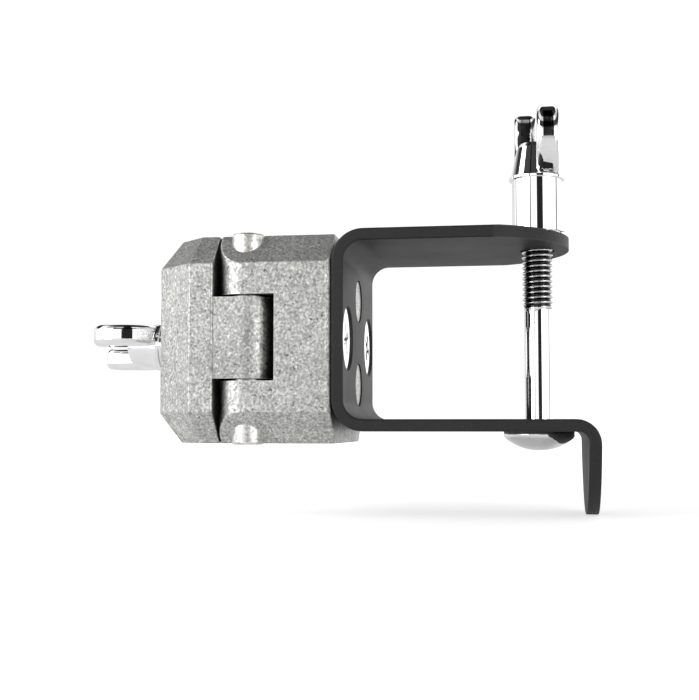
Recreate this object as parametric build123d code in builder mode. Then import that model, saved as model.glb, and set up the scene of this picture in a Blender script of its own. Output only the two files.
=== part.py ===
from build123d import *
import math
import os

# Rim bracket with a hinged rod clamp: a bent steel C-bracket closed by a carriage bolt and a
# wing nut, and behind its plate a two-part cast clamp that holds a round rod.
# Millimetres. The origin is the middle of the clamped rod, +Z runs along the rod and +X
# points from the clamp to the bracket's open throat. The clamp's hinge is on the -Y side.

# Rod clamp
rod_r = 4.8
jaw_gap = 0.3
base_face_x = jaw_gap / 2
cap_face_x = -jaw_gap / 2
seat_x = 21.65
cap_outer_x = -12.35
block_half_h = 19.3
hinge_side_y = -16.4
far_side_y = 23.8
edge_cut = 5.65
cast_edge_r = 0.4
mid_y = (hinge_side_y + far_side_y) / 2

# Hinge
knuckle_r = 5.2
tongue_r = 4.8
hinge_x = base_face_x + knuckle_r
hinge_y = hinge_side_y + knuckle_r
pin_r = 3.05
pin_half_l = 19.5
slot_half_h = 7.9
tongue_half_h = 7.45
slot_wall_x = 11.3
slot_back_y = -6.0

# Bracket
strip_t = 2.2
strip_w = 39.5
plate_in_x = seat_x + strip_t
upper_arm_z = 17.3
lower_arm_z = -14.85
lip_out_x = 69.15
lip_tip_z = -32.6
arm_tip_x = 64.35
strip_end_r = 21.1
strip_edge_r = 0.45
bend_in_r = 3.6
lip_bend_in_r = 1.85
lip_bend_out_r = 4.4

# Fasteners
screw_pitch = 26.8
screw_r = 3.0
screw_l = 10.0
screw_head_r = 5.6
peg_pitch = 16.3
peg_r = 4.0
stud_y = 9.7
stud_r = 2.95
rim_bolt_x = 58.4
rim_bolt_r = 2.95
washer_t = 1.2
nut_bore_r = 3.1

upper_arm_top_z = upper_arm_z + strip_t
lower_arm_bottom_z = lower_arm_z - strip_t
bend_out_r = bend_in_r + strip_t
lip_in_x = lip_out_x - strip_t

os.makedirs("parts", exist_ok=True)


def save(shape, name):
    shape.label = name
    export_step(shape, f"parts/{name}.step")


# Bracket: one strip bent into a C, with a lip turned down past the bolt
with BuildPart() as bracket:
    strip_plane = Plane.XZ.offset(-mid_y)
    with BuildSketch(strip_plane) as strip_profile:
        with BuildLine():
            Polyline(
                (arm_tip_x, upper_arm_top_z),
                (seat_x, upper_arm_top_z),
                (seat_x, lower_arm_bottom_z),
                (lip_in_x, lower_arm_bottom_z),
                (lip_in_x, lip_tip_z),
                (lip_out_x, lip_tip_z),
                (lip_out_x, lower_arm_z),
                (plate_in_x, lower_arm_z),
                (plate_in_x, upper_arm_z),
                (arm_tip_x, upper_arm_z),
                close=True,
            )
        make_face()
        fillet(vertices().group_by(Axis.X)[0], bend_out_r)
        for inner_z in (lower_arm_z, upper_arm_z):
            fillet(vertices().sort_by_distance((plate_in_x, inner_z))[0], bend_in_r)
        fillet(vertices().sort_by_distance((lip_in_x, lower_arm_bottom_z))[0], lip_bend_in_r)
        fillet(vertices().sort_by_distance((lip_out_x, lower_arm_z))[0], lip_bend_out_r)
    extrude(amount=strip_w / 2, both=True)
    side_edges = faces().filter_by(Axis.Y).edges()
    fillet(side_edges.filter_by(lambda e: e.length > strip_t + 0.1), strip_edge_r)

    # Both ends of the strip are rounded to the same large arc
    with BuildSketch(Plane.XY.offset(upper_arm_z - 1)) as arm_end:
        arm_arc_x = arm_tip_x - strip_end_r
        with Locations((arm_arc_x + strip_end_r, mid_y)):
            Rectangle(2 * strip_end_r, 2 * strip_w)
        with Locations((arm_arc_x, mid_y)):
            Circle(strip_end_r, mode=Mode.SUBTRACT)
    extrude(amount=strip_t + 2, mode=Mode.SUBTRACT)
    with BuildSketch(Plane.YZ.offset(lip_in_x - 1)) as lip_end:
        lip_arc_z = lip_tip_z + strip_end_r
        with Locations((mid_y, lip_arc_z - strip_end_r)):
            Rectangle(2 * strip_w, 2 * (strip_end_r - 6))
        with Locations((mid_y, lip_arc_z)):
            Circle(strip_end_r, mode=Mode.SUBTRACT)
    extrude(amount=strip_t + 2, mode=Mode.SUBTRACT)

    # Countersunk screw holes on a level line, peg holes on an upright one
    with Locations(Plane.YZ.offset(plate_in_x)):
        with Locations((mid_y - screw_pitch / 2, 0), (mid_y + screw_pitch / 2, 0)):
            CounterSinkHole(screw_r + 0.3, screw_head_r + 0.4, strip_t + 1)
        with Locations((mid_y, -peg_pitch / 2), (mid_y, peg_pitch / 2)):
            Hole(peg_r + 0.15, strip_t + 1)

    # Bolt holes: round in the upper arm, square in the lower one
    with Locations(Plane.XY.offset(upper_arm_top_z)):
        with Locations((rim_bolt_x, mid_y)):
            Hole(rim_bolt_r + 0.35, strip_t + 1)
    with BuildSketch(Plane.XY.offset(lower_arm_z + 1)):
        with Locations((rim_bolt_x, mid_y)):
            Rectangle(6.3, 6.3)
    extrude(amount=-strip_t - 2, mode=Mode.SUBTRACT)
save(bracket.part, "bracket")


# Clamp base: cast block with two hinge ears, half of the rod bore and two locating pegs
with BuildPart() as clamp_base:
    with BuildSketch(Plane.YZ.offset(base_face_x)):
        with Locations((mid_y, 0)):
            Rectangle(far_side_y - hinge_side_y, 2 * block_half_h)
        chamfer(vertices(), edge_cut)
    extrude(amount=seat_x - base_face_x)
    with BuildSketch(Plane.XY.offset(-block_half_h)) as base_plan:
        with Locations(((base_face_x + seat_x) / 2, mid_y)):
            Rectangle(seat_x - base_face_x, far_side_y - hinge_side_y)
        fillet(vertices().sort_by_distance((base_face_x, hinge_side_y))[0], knuckle_r - 0.01)
        chamfer(vertices().group_by(Axis.X)[-1], 1.0)
    extrude(amount=2 * block_half_h, mode=Mode.INTERSECT)
    fillet(edges().filter_by(lambda e: e.length > 0.1), cast_edge_r)

    # Slot for the cap's tongue
    with BuildSketch(Plane.XY.offset(-slot_half_h)):
        with Locations((0, slot_back_y)):
            Rectangle(slot_wall_x, 20, align=(Align.MIN, Align.MAX))
    extrude(amount=2 * slot_half_h, mode=Mode.SUBTRACT)

    # Rod groove and hinge pin hole, both along Z
    with Locations(Plane.XY.offset(block_half_h)):
        with Locations((0, 0)):
            Hole(rod_r, 2 * block_half_h)
        with Locations((hinge_x, hinge_y)):
            Hole(pin_r + 0.01, 2 * block_half_h)

    # Pegs and screw holes face the bracket
    with BuildSketch(Plane.YZ.offset(seat_x)):
        with Locations((mid_y, -peg_pitch / 2), (mid_y, peg_pitch / 2)):
            Circle(peg_r)
    extrude(amount=strip_t - 0.25)
    with Locations(Plane.YZ.offset(seat_x)):
        with Locations((mid_y - screw_pitch / 2, 0), (mid_y + screw_pitch / 2, 0)):
            CounterSinkHole(screw_r + 0.02, 4.05, 8.6)

    # The clamp stud is screwed in from the rod side
    with BuildSketch(Plane.YZ.offset(base_face_x)):
        with Locations((stud_y, 0)):
            Circle(stud_r + 0.03)
    extrude(amount=14, mode=Mode.SUBTRACT)
save(clamp_base.part, "clamp_base")


# Clamp cap: cast lid with sloped edges, half of the rod bore and the hinge tongue
side_x = -4.55
corner_y = 7.8
top_side_x = -3.65
top_outer_x = -8.95
top_corner_y = 10.95
wall_half_h = block_half_h - edge_cut


def cap_outline(side_edge_x, outer_x, side_inset, corner_inset):
    near_y = hinge_side_y + side_inset
    far_y = far_side_y - side_inset
    return [
        (cap_face_x, near_y),
        (side_edge_x, near_y),
        (outer_x, hinge_side_y + corner_inset),
        (outer_x, far_side_y - corner_inset),
        (side_edge_x, far_y),
        (cap_face_x, far_y),
    ]


with BuildPart() as clamp_cap:
    with BuildSketch(Plane.XY):
        with BuildLine():
            Polyline(*cap_outline(side_x, cap_outer_x, 0, corner_y), close=True)
        make_face()
    extrude(amount=wall_half_h)
    with BuildSketch(Plane.XY.offset(wall_half_h)):
        with BuildLine():
            Polyline(*cap_outline(side_x, cap_outer_x, 0, corner_y), close=True)
        make_face()
    with BuildSketch(Plane.XY.offset(block_half_h)):
        with BuildLine():
            Polyline(*cap_outline(top_side_x, top_outer_x, edge_cut, top_corner_y), close=True)
        make_face()
    loft(ruled=True)
    mirror(about=Plane.XY)
    fillet(edges(), cast_edge_r)

    # Tongue between the ears of the base
    with BuildSketch(Plane.XY.offset(-tongue_half_h)):
        with Locations((cap_face_x - 1, hinge_y)):
            Rectangle(hinge_x - cap_face_x + 1, 2 * tongue_r, align=(Align.MIN, Align.CENTER))
        with Locations((hinge_x, hinge_y)):
            Circle(tongue_r)
            Circle(pin_r + 0.05, mode=Mode.SUBTRACT)
    extrude(amount=2 * tongue_half_h)

    # Rod groove, and a slot that lets the cap swing past the stud
    with Locations(Plane.XY.offset(block_half_h)):
        with Locations((0, 0)):
            Hole(rod_r, 2 * block_half_h)
    with BuildSketch(Plane.YZ.offset(cap_outer_x - 1)):
        with Locations((stud_y + 1.3, 0)):
            SlotCenterToCenter(2.6, 6.6)
    extrude(amount=cap_face_x - cap_outer_x + 2, mode=Mode.SUBTRACT)
save(clamp_cap.part, "clamp_cap")


# Hinge pin, pressed into the ears
with BuildPart() as hinge_pin:
    with Locations((hinge_x, hinge_y, 0)):
        Cylinder(pin_r, 2 * pin_half_l)
    fillet(edges().filter_by(GeomType.CIRCLE), 0.5)
save(hinge_pin.part, "hinge_pin")


# Countersunk cross-slot screws that hold the base to the bracket
with BuildPart() as bracket_screws:
    head_x = plate_in_x - 0.35
    cone_x = head_x - (screw_head_r - screw_r)
    with BuildSketch(Plane.XY.offset(0)) as screw_half:
        with BuildLine():
            screw_y = mid_y - screw_pitch / 2
            Polyline(
                (head_x, screw_y),
                (head_x, screw_y + screw_head_r),
                (cone_x, screw_y + screw_r),
                (head_x - screw_l, screw_y + screw_r),
                (head_x - screw_l, screw_y),
                close=True,
            )
        make_face()
    revolve(axis=Axis((0, screw_y, 0), (1, 0, 0)))
    with BuildSketch(Plane.YZ.offset(head_x)):
        with Locations((screw_y, 0)):
            Rectangle(5.6, 1.3, rotation=20)
            Rectangle(1.3, 5.6, rotation=20)
    extrude(amount=-1.8, taper=12, mode=Mode.SUBTRACT)
    mirror(about=Plane.XZ.offset(-mid_y))
save(bracket_screws.part, "bracket_screws")


# Carriage bolt that closes the throat
with BuildPart() as rim_bolt:
    head_r = 6.65
    head_rim = 1.2
    head_dome = 2.5
    thread_z = 6.0
    bolt_top_z = 33.0
    with BuildSketch(Plane.XZ.offset(-mid_y)):
        with BuildLine():
            Polyline(
                (rim_bolt_x, lower_arm_bottom_z - head_rim - head_dome),
                (rim_bolt_x, bolt_top_z),
                (rim_bolt_x + rim_bolt_r - 0.6, bolt_top_z),
                (rim_bolt_x + rim_bolt_r, bolt_top_z - 0.6),
                (rim_bolt_x + rim_bolt_r, thread_z),
                (rim_bolt_x + rim_bolt_r - 0.3, thread_z - 0.3),
                (rim_bolt_x + rim_bolt_r - 0.3, lower_arm_bottom_z),
                (rim_bolt_x + head_r, lower_arm_bottom_z),
                (rim_bolt_x + head_r, lower_arm_bottom_z - head_rim),
            )
            RadiusArc(
                (rim_bolt_x + head_r, lower_arm_bottom_z - head_rim),
                (rim_bolt_x, lower_arm_bottom_z - head_rim - head_dome),
                (head_r**2 + head_dome**2) / (2 * head_dome),
            )
        make_face()
    revolve(axis=Axis((rim_bolt_x, mid_y, 0), (0, 0, 1)))
    with BuildSketch(Plane.XY.offset(lower_arm_bottom_z - 0.1)):
        with Locations((rim_bolt_x, mid_y)):
            Rectangle(6.1, 6.1)
    extrude(amount=strip_t - 0.1)
save(rim_bolt.part, "rim_bolt")


# Stud that the clamp nut runs on
with BuildPart() as clamp_stud:
    stud_root_x = 13.9
    stud_tip_x = -23.0
    with BuildSketch(Plane.YZ.offset(stud_root_x)):
        with Locations((stud_y, 0)):
            Circle(stud_r)
    extrude(amount=stud_tip_x - stud_root_x)
    chamfer(edges().filter_by(GeomType.CIRCLE), 0.6)
save(clamp_stud.part, "clamp_stud")


# Washers
with BuildPart() as rim_washer:
    with BuildSketch(Plane.XY.offset(upper_arm_top_z)):
        with Locations((rim_bolt_x, mid_y)):
            Circle(5.75)
            Circle(3.25, mode=Mode.SUBTRACT)
    extrude(amount=washer_t)
    fillet(edges().filter_by(GeomType.CIRCLE).group_by(SortBy.RADIUS)[-1], 0.3)
save(rim_washer.part, "rim_washer")

with BuildPart() as clamp_washer:
    with BuildSketch(Plane.YZ.offset(cap_outer_x)):
        with Locations((stud_y, 0)):
            Circle(6.0)
            Circle(3.25, mode=Mode.SUBTRACT)
    extrude(amount=-washer_t)
    fillet(edges().filter_by(GeomType.CIRCLE).group_by(SortBy.RADIUS)[-1], 0.3)
save(clamp_washer.part, "clamp_washer")


def wing_nut(seat, barrel_l):
    """A forged wing nut on the seat plane: barrel, collar and two wings either side of the axis."""
    barrel_r = 4.75
    collar_r = 5.3
    hub_top = 7.3
    wing_t = 4.3
    collar = seat.offset(barrel_l)
    side = Plane(collar.origin, x_dir=seat.x_dir, z_dir=seat.x_dir.cross(seat.z_dir))
    with BuildPart() as nut:
        # Each wing lies wholly to one side of the plane through the axis
        with BuildSketch(side):
            with BuildLine():
                Spline(
                    (-0.2, 5.0),
                    (1.4, 9.4),
                    (2.8, 13.6),
                    (5.6, 13.4),
                    (8.5, 10.2),
                    (8.3, 4.6),
                    (5.2, 0.75),
                )
                Polyline((5.2, 0.75), (-0.2, 0.75), (-0.2, 5.0))
            make_face()
        extrude(amount=-wing_t)
        fillet(edges().filter_by(GeomType.BSPLINE), 1.3)
        add(nut.part.rotate(Axis(side.origin, side.y_dir), 180))
        with BuildSketch(side):
            with BuildLine():
                Polyline(
                    (0, -barrel_l),
                    (barrel_r - 0.3, -barrel_l),
                    (barrel_r, -barrel_l + 0.3),
                    (barrel_r, 0),
                    (collar_r, 0.1),
                    (collar_r, 0.5),
                    (4.9, 0.8),
                    (3.75, 6.2),
                    (2.9, hub_top),
                    (0, hub_top),
                    close=True,
                )
            make_face()
        revolve(axis=Axis(side.origin, side.y_dir))
        with BuildSketch(seat):
            Circle(nut_bore_r)
        extrude(amount=barrel_l + hub_top, mode=Mode.SUBTRACT)
    return nut.part


rim_seat = Plane((rim_bolt_x, mid_y, upper_arm_top_z + washer_t), x_dir=(0, -1, 0), z_dir=(0, 0, 1))
save(wing_nut(rim_seat, barrel_l=10.2), "rim_wing_nut")

clamp_seat = Plane((cap_outer_x - washer_t, stud_y, 0), x_dir=(0, -1, 0), z_dir=(-1, 0, 0))
save(wing_nut(clamp_seat, barrel_l=3.6), "clamp_wing_nut")
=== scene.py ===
import math

import bpy
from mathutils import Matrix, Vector


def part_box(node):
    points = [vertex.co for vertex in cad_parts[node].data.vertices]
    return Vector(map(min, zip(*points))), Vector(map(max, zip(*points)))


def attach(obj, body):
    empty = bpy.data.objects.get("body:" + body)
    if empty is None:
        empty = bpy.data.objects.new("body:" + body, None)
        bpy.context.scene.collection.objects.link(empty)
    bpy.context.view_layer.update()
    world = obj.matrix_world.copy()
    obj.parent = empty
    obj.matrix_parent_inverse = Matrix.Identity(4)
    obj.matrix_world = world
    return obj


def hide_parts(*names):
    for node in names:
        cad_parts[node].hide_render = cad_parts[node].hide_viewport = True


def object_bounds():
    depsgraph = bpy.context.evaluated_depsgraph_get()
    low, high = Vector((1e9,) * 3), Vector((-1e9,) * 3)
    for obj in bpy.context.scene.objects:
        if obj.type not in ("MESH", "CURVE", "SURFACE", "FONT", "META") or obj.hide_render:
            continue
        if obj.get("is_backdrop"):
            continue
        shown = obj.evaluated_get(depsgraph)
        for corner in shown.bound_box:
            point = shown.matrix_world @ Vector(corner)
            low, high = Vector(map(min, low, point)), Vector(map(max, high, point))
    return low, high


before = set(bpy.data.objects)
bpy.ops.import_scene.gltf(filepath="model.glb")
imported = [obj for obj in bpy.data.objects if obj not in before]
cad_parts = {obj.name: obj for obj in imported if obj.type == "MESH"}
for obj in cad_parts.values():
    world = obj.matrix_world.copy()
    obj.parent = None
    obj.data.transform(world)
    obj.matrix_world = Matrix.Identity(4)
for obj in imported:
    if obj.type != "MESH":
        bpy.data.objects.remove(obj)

MM = 0.001
cad_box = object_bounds()


def new_mesh_object(name, verts, faces):
    mesh = bpy.data.meshes.new(name)
    mesh.from_pydata(verts, [], faces)
    mesh.update()
    obj = bpy.data.objects.new(name, mesh)
    bpy.context.scene.collection.objects.link(obj)
    return obj


class Nodes:
    """A short way to write a node tree."""

    def __init__(self, tree):
        self.tree = tree
        tree.nodes.clear()

    def add(self, kind, inputs=None, **settings):
        """A new node. An input given a socket is linked to it, and any other value is set."""
        node = self.tree.nodes.new(kind)
        for key, value in settings.items():
            setattr(node, key, value)
        for key, value in (inputs or {}).items():
            if isinstance(value, bpy.types.NodeSocket):
                self.tree.links.new(value, node.inputs[key])
            else:
                node.inputs[key].default_value = value
        return node

    def math(self, operation, a, b=0.5):
        return self.add("ShaderNodeMath", {0: a, 1: b}, operation=operation).outputs[0]

    def ramp(self, value, stops):
        """A colour ramp through (place, grey level or colour) stops."""
        node = self.add("ShaderNodeValToRGB", {"Fac": value})
        band = node.color_ramp
        while len(band.elements) < len(stops):
            band.elements.new(0.5)
        for element, (place, level) in zip(band.elements, stops):
            element.position = place
            element.color = (*level, 1) if isinstance(level, tuple) else (level, level, level, 1)
        return node.outputs["Color"]

    def noise(self, coords, scale, detail=3.0, rough=0.5):
        inputs = {"Vector": coords, "Scale": scale, "Detail": detail, "Roughness": rough}
        return self.add("ShaderNodeTexNoise", inputs).outputs["Fac"]

    def mix(self, factor, a, b, blend="MIX"):
        node = self.add("ShaderNodeMix", data_type="RGBA", blend_type=blend)
        for index, value in ((0, factor), (6, a), (7, b)):
            if isinstance(value, bpy.types.NodeSocket):
                self.tree.links.new(value, node.inputs[index])
            elif index == 0:
                node.inputs[index].default_value = value
            else:
                node.inputs[index].default_value = (*value, 1)
        return node.outputs[2]


def start_material(name):
    material = bpy.data.materials.new(name)
    material.use_nodes = True
    return material, Nodes(material.node_tree)


# Stage -------------------------------------------------------------------------------------

TENT_STRENGTH = 2.1
BACKDROP_STRENGTH = 1.05
FLOOR_HALF = 2.5
FLOOR_GLOW = 0.25
LENS_MM = 61.7
CAMERA_TO_BOLT = 231 * MM
CAMERA_Z = -15.9 * MM
CAMERA_TURN_LEFT = math.radians(8.96)
CAMERA_LOOK_UP = math.radians(3.58)
# name, offset from the object's middle, width and height in metres, power in watts
LIGHTS = (
    ("key_left", (-0.42, -0.42, 0.12), (0.3, 0.35), 1.1),
    ("corner_left", (-0.5, -0.1, 0.28), (0.25, 0.25), 0.6),
    ("fill_right", (0.55, -0.35, 0.1), (0.25, 0.35), 0.7),
    ("top_back", (0, 0.5, 0.5), (0.8, 0.5), 1.0),
)


def set_world():
    """A studio tent that lights the object, and plain white where the camera sees past it.

    The tent has pale panels with dark seams, a dark gap in front and a dark ceiling with one
    pale band, which the plating mirrors.
    """
    world = bpy.data.worlds.new("studio")
    bpy.context.scene.world = world
    world.use_nodes = True
    n = Nodes(world.node_tree)
    direction = n.add("ShaderNodeTexCoord").outputs["Generated"]
    across, along, up = n.add("ShaderNodeSeparateXYZ", {0: direction}).outputs
    turn = n.math("ARCTAN2", across, n.math("MULTIPLY", along, -1))
    # 0.5 is the front of the tent, 0.25 its left side and 0.75 its right side
    place = n.math("ADD", n.math("DIVIDE", turn, 2 * math.pi), 0.5)
    left_back = [(0.0, 0.40), (0.150, 0.40), (0.180, 0.80)]
    left_seam = [(0.183, 0.06), (0.198, 0.06)]
    left = [(0.202, 0.80), (0.330, 0.75), (0.405, 0.65)]
    left_front_seam = [(0.409, 0.04), (0.420, 0.04)]
    left_front = [(0.424, 0.60), (0.494, 0.60)]
    front_gap = [(0.500, 0.01), (0.576, 0.01)]
    right = [(0.581, 1.0), (0.640, 0.9), (0.690, 0.55), (0.770, 0.60)]
    right_seam = [(0.774, 0.06), (0.790, 0.06)]
    right_back = [(0.794, 0.75), (0.830, 0.75), (1.0, 0.70)]
    round_the_tent = [
        *left_back, *left_seam, *left, *left_front_seam, *left_front,
        *front_gap, *right, *right_seam, *right_back,
    ]
    walls = [(0.0, 1.0), (0.32, 1.0)]
    low_ceiling = [(0.42, 0.04), (0.64, 0.04)]
    pale_band = [(0.68, 0.60), (0.82, 0.60)]
    overhead = [(0.86, 0.03), (1.0, 0.02)]
    sides = n.ramp(place, round_the_tent)
    heights = n.ramp(up, [*walls, *low_ceiling, *pale_band, *overhead])
    level = n.mix(1.0, sides, heights, "MULTIPLY")
    tent = n.add("ShaderNodeBackground", {"Color": level, "Strength": TENT_STRENGTH})
    plain = n.add("ShaderNodeBackground", {"Color": (1, 1, 1, 1), "Strength": BACKDROP_STRENGTH})
    seen = n.add("ShaderNodeLightPath").outputs["Is Camera Ray"]
    both = n.add("ShaderNodeMixShader", {0: seen, 1: tent.outputs[0], 2: plain.outputs[0]})
    n.add("ShaderNodeOutputWorld", {"Surface": both.outputs[0]})


def floor_paper():
    """White paper that glows a little, so that it looks as white as the tent behind it."""
    material, n = start_material("floor_paper")
    coords = n.add("ShaderNodeTexCoord").outputs["Object"]
    tone = n.ramp(n.noise(coords, 60), [(0.3, 0.78), (0.7, 0.8)])
    bsdf = n.add("ShaderNodeBsdfPrincipled", {
        "Base Color": tone, "Roughness": 0.95, "Specular IOR Level": 0.0,
    })
    glow = n.add("ShaderNodeEmission", {"Color": (1, 1, 1, 1), "Strength": FLOOR_GLOW})
    lit = n.add("ShaderNodeAddShader", {0: bsdf.outputs[0], 1: glow.outputs[0]})
    # Only the camera sees this extra white, which grows towards the horizon
    spread = n.add("ShaderNodeVectorMath", {0: coords}, operation="LENGTH").outputs["Value"]
    whiteness = n.ramp(spread, [(0.1, 0.36), (0.4, 0.76)])
    white = n.add("ShaderNodeEmission", {"Color": whiteness, "Strength": 1.0})
    more = n.add("ShaderNodeAddShader", {0: lit.outputs[0], 1: white.outputs[0]})
    seen = n.add("ShaderNodeLightPath").outputs["Is Camera Ray"]
    total = n.add("ShaderNodeMixShader", {0: seen, 1: lit.outputs[0], 2: more.outputs[0]})
    n.add("ShaderNodeOutputMaterial", {"Surface": total.outputs[0]})
    return material


def set_floor():
    """A sheet under the lowest point of the object."""
    z = cad_box[0].z
    half = FLOOR_HALF
    corners = [(-half, -half, z), (half, -half, z), (half, half, z), (-half, half, z)]
    floor = new_mesh_object("floor", corners, [(0, 1, 2, 3)])
    floor.data.materials.append(floor_paper())
    floor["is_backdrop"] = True


def set_lights():
    """Soft rectangles that face the middle of the object."""
    low, high = cad_box
    middle = (low + high) / 2
    for name, offset, size, power in LIGHTS:
        light = bpy.data.lights.new(name, "AREA")
        light.shape = "RECTANGLE"
        light.size, light.size_y = size
        light.energy = power
        obj = bpy.data.objects.new(name, light)
        obj.location = middle + Vector(offset)
        obj.rotation_euler = (-Vector(offset)).to_track_quat("-Z", "Y").to_euler()
        bpy.context.scene.collection.objects.link(obj)


def set_camera():
    """The view square to the bracket's profile, from level with its lower arm."""
    camera = bpy.data.cameras.new("camera")
    camera.lens = LENS_MM
    camera.clip_start, camera.clip_end = 0.01, 20
    obj = bpy.data.objects.new("camera", camera)
    bolt_low, bolt_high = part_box("rim_bolt")
    bolt = (bolt_low + bolt_high) / 2
    obj.location = (bolt.x, bolt.y - CAMERA_TO_BOLT, CAMERA_Z)
    obj.rotation_euler = (math.pi / 2 + CAMERA_LOOK_UP, 0, CAMERA_TURN_LEFT)
    bpy.context.scene.collection.objects.link(obj)
    bpy.context.scene.camera = obj


# Materials ---------------------------------------------------------------------------------

def edge_mask(n, radius, start, end):
    """1 along the outer edges and corners, 0 on the faces."""
    soft = n.add("ShaderNodeBevel", {"Radius": radius}, samples=6).outputs[0]
    face = n.add("ShaderNodeNewGeometry").outputs["Normal"]
    same = n.add("ShaderNodeVectorMath", {0: soft, 1: face}, operation="DOT_PRODUCT").outputs["Value"]
    return n.ramp(n.math("SUBTRACT", 1.0, same), [(start, 0.0), (end, 1.0)])


def cast_metal():
    """Raw tumbled casting: pale grey, peened all over, with painted glints, dark pits, edges partly
    worn and partly painted with highlights, and painted shade in the crevices.
    """
    material, n = start_material("cast_metal")
    coords = n.add("ShaderNodeTexCoord").outputs["Object"]
    cloud = n.noise(coords, 130, 5, 0.6)
    blotch = n.noise(coords, 600, 4, 0.65)
    grain = n.noise(coords, 2000, 3, 0.65)
    cells = n.add("ShaderNodeTexVoronoi", {"Vector": coords, "Scale": 1500.0}, feature="F1")
    dings = cells.outputs["Distance"]
    pits = n.noise(coords, 1300, 3, 0.55)
    tone = n.ramp(cloud, [(0.3, (0.46, 0.46, 0.447)), (0.7, (0.58, 0.58, 0.562))])
    tone = n.mix(1.0, tone, n.ramp(blotch, [(0.32, 0.80), (0.55, 1.0), (0.72, 1.15)]), "MULTIPLY")
    tone = n.mix(1.0, tone, n.ramp(grain, [(0.34, 0.62), (0.5, 1.0), (0.62, 1.42)]), "MULTIPLY")
    tone = n.mix(n.ramp(pits, [(0.30, 0.85), (0.37, 0.0)]), tone, (0.08, 0.08, 0.08))
    # Painted glints: small spots lifted to pale grey stand in for the sparkle of the peened surface
    painted_glint = n.ramp(n.noise(coords, 1400, 2, 0.5), [(0.63, 0.0), (0.68, 0.9)])
    tone = n.mix(painted_glint, tone, (0.88, 0.88, 0.86))
    # Painted shade: the casting is darkened where it is closed in, in the gap behind the cap and round
    # the hinge tongue
    openness = n.add("ShaderNodeAmbientOcclusion", {"Distance": 3 * MM}, samples=8).outputs["AO"]
    tone = n.mix(1.0, tone, n.ramp(openness, [(0.35, 0.12), (0.80, 1.0)]), "MULTIPLY")
    # Paler edges: partly real wear from tumbling, partly a painted highlight along the edges
    patches = n.ramp(blotch, [(0.35, 0.2), (0.55, 0.9)])
    worn_and_highlit_edge = n.math("MULTIPLY", edge_mask(n, 0.32 * MM, 0.02, 0.10), patches)
    tone = n.mix(worn_and_highlit_edge, tone, (0.88, 0.88, 0.86))
    rough = n.ramp(grain, [(0.3, 0.50), (0.7, 0.34)])
    bump = n.add("ShaderNodeBump", {"Height": grain, "Distance": 0.07 * MM, "Strength": 0.6})
    bump = n.add("ShaderNodeBump", {
        "Height": dings, "Distance": 0.06 * MM, "Strength": 0.5, "Normal": bump.outputs[0],
    })
    bump = n.add("ShaderNodeBump", {
        "Height": pits, "Distance": 0.12 * MM, "Strength": 0.5, "Normal": bump.outputs[0],
    })
    bsdf = n.add("ShaderNodeBsdfPrincipled", {
        "Base Color": tone, "Metallic": 0.7, "Roughness": rough, "Normal": bump.outputs[0],
    })
    n.add("ShaderNodeOutputMaterial", {"Surface": bsdf.outputs[0]})
    return material


def black_paint():
    """Satin black powder coat with a fine orange-peel skin and edges rubbed a little paler."""
    material, n = start_material("black_paint")
    coords = n.add("ShaderNodeTexCoord").outputs["Object"]
    peel = n.noise(coords, 1100, 2, 0.4)
    cloud = n.noise(coords, 60, 3)
    dust = n.ramp(n.noise(coords, 2600, 2), [(0.66, 0.0), (0.74, 0.35)])
    tone = n.ramp(cloud, [(0.3, (0.018, 0.018, 0.018)), (0.7, (0.024, 0.024, 0.024))])
    tone = n.mix(dust, tone, (0.10, 0.10, 0.10))
    edge = n.math("MULTIPLY", edge_mask(n, 0.4 * MM, 0.03, 0.15), 0.7)
    tone = n.mix(edge, tone, (0.075, 0.075, 0.075))
    rough = n.ramp(cloud, [(0.3, 0.50), (0.7, 0.58)])
    bump = n.add("ShaderNodeBump", {"Height": peel, "Distance": 0.04 * MM, "Strength": 0.4})
    bsdf = n.add("ShaderNodeBsdfPrincipled", {
        "Base Color": tone, "Roughness": rough, "Specular IOR Level": 0.3, "Normal": bump.outputs[0],
    })
    n.add("ShaderNodeOutputMaterial", {"Surface": bsdf.outputs[0]})
    return material


def chrome(name, grooves=False):
    """Bright plated steel with a faint ripple and a few dull specks. Thread grooves are darkened with
    painted shade.
    """
    material, n = start_material(name)
    coords = n.add("ShaderNodeTexCoord").outputs["Object"]
    ripple = n.noise(coords, 260, 2, 0.4)
    tone = n.ramp(ripple, [(0.3, (0.86, 0.86, 0.87)), (0.7, (0.92, 0.92, 0.93))])
    specks = n.ramp(n.noise(coords, 1500, 2), [(0.68, 0.0), (0.75, 0.5)])
    tone = n.mix(specks, tone, (0.55, 0.55, 0.56))
    if grooves:
        # Painted shade: the thread is darkened towards the bottom of its grooves
        depth = n.add("ShaderNodeAttribute", attribute_name="groove").outputs["Fac"]
        tone = n.mix(n.ramp(depth, [(0.1, 0.0), (0.75, 1.0)]), tone, (0.05, 0.05, 0.05))
    rough = n.ramp(n.noise(coords, 700, 3), [(0.4, 0.03), (0.7, 0.07)])
    bump = n.add("ShaderNodeBump", {"Height": ripple, "Distance": 0.03 * MM, "Strength": 0.25})
    bsdf = n.add("ShaderNodeBsdfPrincipled", {
        "Base Color": tone, "Metallic": 1.0, "Roughness": rough, "Normal": bump.outputs[0],
    })
    n.add("ShaderNodeOutputMaterial", {"Surface": bsdf.outputs[0]})
    return material


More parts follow.
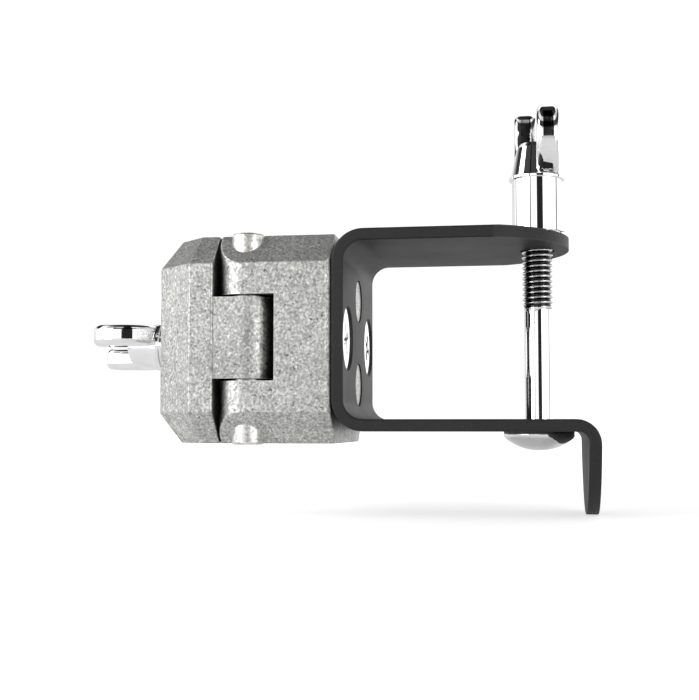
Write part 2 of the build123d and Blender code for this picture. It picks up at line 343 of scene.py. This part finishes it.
def pin_steel():
    """Steel pin tumbled with the casting: bright, with turning marks and a fine grit."""
    material, n = start_material("pin_steel")
    coords = n.add("ShaderNodeTexCoord").outputs["Object"]
    stretch = n.add("ShaderNodeMapping", {"Vector": coords, "Scale": (1, 1, 12)}).outputs[0]
    marks = n.noise(stretch, 500, 3)
    grit = n.noise(coords, 1900, 3, 0.6)
    tone = n.ramp(marks, [(0.3, (0.68, 0.67, 0.64)), (0.7, (0.86, 0.85, 0.82))])
    tone = n.mix(1.0, tone, n.ramp(grit, [(0.34, 0.6), (0.5, 1.0), (0.66, 1.25)]), "MULTIPLY")
    rough = n.ramp(grit, [(0.3, 0.46), (0.7, 0.32)])
    bump = n.add("ShaderNodeBump", {"Height": marks, "Distance": 0.03 * MM, "Strength": 0.4})
    bump = n.add("ShaderNodeBump", {
        "Height": grit, "Distance": 0.07 * MM, "Strength": 0.6, "Normal": bump.outputs[0],
    })
    bsdf = n.add("ShaderNodeBsdfPrincipled", {
        "Base Color": tone, "Metallic": 0.9, "Roughness": rough, "Normal": bump.outputs[0],
    })
    n.add("ShaderNodeOutputMaterial", {"Surface": bsdf.outputs[0]})
    return material


def dress(node, material):
    """Gives a CAD node its material. Its mesh stays as it is."""
    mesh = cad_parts[node].data
    for index in range(len(mesh.materials)):
        mesh.materials[index] = material
    if not mesh.materials:
        mesh.materials.append(material)


# Threads -----------------------------------------------------------------------------------

PITCH = 1.0 * MM
THREAD_DEPTH = 0.55 * MM
TIP_CUT = 0.6 * MM
AROUND = 72
RINGS_PER_TURN = 12
FLANK_SLOPE = 2.6
ROOT_FLAT = 0.12
# Two rings this close make a sharp step
HAIR = 0.001 * MM


def lathe(name, stations, thread_start, radius_at, place):
    """A closed turned piece. radius_at(s, turn) gives the radius and place(s, a, b) the point.

    The point attribute groove is 1 at the bottom of the thread, which starts at thread_start.
    """
    verts, faces, depths = [], [], []
    for s in stations:
        for k in range(AROUND):
            turn = 2 * math.pi * k / AROUND
            r = radius_at(s, turn)
            verts.append(place(s, r * math.cos(turn), r * math.sin(turn)))
            depths.append(1 - ridge(s, turn) if s > thread_start else 0.0)
    for row in range(len(stations) - 1):
        for k in range(AROUND):
            low, high = row * AROUND + k, row * AROUND + (k + 1) % AROUND
            faces.append((low, high, high + AROUND, low + AROUND))
    last = (len(stations) - 1) * AROUND
    faces.append(tuple(reversed(range(AROUND))))
    faces.append(tuple(range(last, last + AROUND)))
    obj = new_mesh_object(name, verts, faces)
    obj.data.polygons.foreach_set("use_smooth", [len(p.vertices) == 4 for p in obj.data.polygons])
    groove = obj.data.attributes.new("groove", "FLOAT", "POINT")
    groove.data.foreach_set("value", depths)
    return obj


def ridge(s, turn):
    """The height of a right-hand thread, 0 in the groove and 1 on the crest."""
    phase = (s / PITCH - turn / (2 * math.pi)) % 1.0
    return min(1.0, max(0.0, FLANK_SLOPE * (0.5 - abs(phase - 0.5)) - ROOT_FLAT))


def steps(start, end, size):
    """Even steps of about this size, without the end."""
    count = max(1, round((end - start) / size))
    return [start + (end - start) * k / count for k in range(count)]


def rim_bolt_piece():
    """The carriage bolt with its domed head, square neck, plain shank and rolled thread."""
    low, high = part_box("rim_bolt")
    x, y = (low.x + high.x) / 2, (low.y + high.y) / 2
    head_r, head_rim, head_dome = 6.65 * MM, 1.2 * MM, 2.5 * MM
    rim_cut_h, rim_cut = 0.15 * MM, 0.12 * MM
    arm_t, neck_half = 2.2 * MM, 3.05 * MM
    neck_corner = 1.3 * neck_half
    shank_r, thread_r = 2.65 * MM, 2.95 * MM
    thread_z, run_out = 6.0 * MM, 1.2 * PITCH
    dome_top = low.z + head_dome
    arm_low = dome_top + head_rim
    arm_high = arm_low + arm_t
    tip = high.z - TIP_CUT
    sphere_r = (head_r ** 2 + head_dome ** 2) / (2 * head_dome)
    dome_rings = 14
    quarter = math.pi / 2
    stations = [
        low.z + head_dome * (1 - math.cos(quarter * k / dome_rings)) for k in range(1, dome_rings)
    ]
    stations += [dome_top, dome_top + rim_cut_h, arm_low - rim_cut_h, arm_low, arm_low + HAIR]
    stations += [arm_high, arm_high + HAIR]
    stations += steps(arm_high + 0.05 * MM, thread_z, 1.5 * MM)
    stations += steps(thread_z, tip, PITCH / RINGS_PER_TURN) + [tip, high.z]

    def radius(z, turn):
        if z < dome_top:
            sag = sphere_r - (z - low.z)
            return math.sqrt(sphere_r ** 2 - sag ** 2)
        if z <= arm_low:
            return head_r - (rim_cut if z in (dome_top, arm_low) else 0.0)
        if z <= arm_high:
            square = neck_half / max(abs(math.cos(turn)), abs(math.sin(turn)))
            return min(square, neck_corner)
        if z < thread_z:
            return shank_r
        fade = min(1.0, (z - thread_z) / run_out)
        groove = thread_r - THREAD_DEPTH * (1 - ridge(z, turn))
        level = shank_r + (groove - shank_r) * fade
        return level if z < high.z else min(level, thread_r - TIP_CUT)

    def place(z, a, b):
        return (x + a, y + b, z)

    return lathe("rim_bolt_threaded", stations, thread_z, radius, place)


def clamp_stud_piece():
    """The stud, threaded from end to end, with both ends chamfered."""
    low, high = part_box("clamp_stud")
    y, z = (low.y + high.y) / 2, (low.z + high.z) / 2
    thread_r = (high.y - low.y) / 2
    length = high.x - low.x
    last_full = length - TIP_CUT
    stations = [0.0] + steps(TIP_CUT, last_full, PITCH / RINGS_PER_TURN) + [last_full, length]

    def radius(s, turn):
        level = thread_r - THREAD_DEPTH * (1 - ridge(s, turn))
        return min(level, thread_r - TIP_CUT) if s in (0.0, length) else level

    def place(s, a, b):
        return (low.x + s, y + a, z + b)

    return lathe("clamp_stud_threaded", stations, 0.0, radius, place)


# Scene -------------------------------------------------------------------------------------

set_world()
set_camera()
set_floor()
set_lights()
# The default view transform would turn the white backdrop grey
bpy.context.scene.view_settings.view_transform = "Standard"

NODES_OF_MATERIAL = (
    (cast_metal(), ("clamp_base", "clamp_cap")),
    (black_paint(), ("bracket",)),
    (pin_steel(), ("hinge_pin",)),
    (chrome("bright_plating"), (
        "bracket_screws", "rim_bolt", "rim_washer", "rim_wing_nut",
        "clamp_stud", "clamp_washer", "clamp_wing_nut",
    )),
)
for material, nodes in NODES_OF_MATERIAL:
    for node in nodes:
        dress(node, material)

shaded_threads = chrome("bright_plating_threads", grooves=True)
for piece, node in ((rim_bolt_piece(), "rim_bolt"), (clamp_stud_piece(), "clamp_stud")):
    piece.data.materials.append(shaded_threads)
    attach(piece, "bracket_body")
    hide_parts(node)

boxes = {"cad": cad_box, "visual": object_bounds()}
{name: [list(corner) for corner in box] for name, box in boxes.items()}
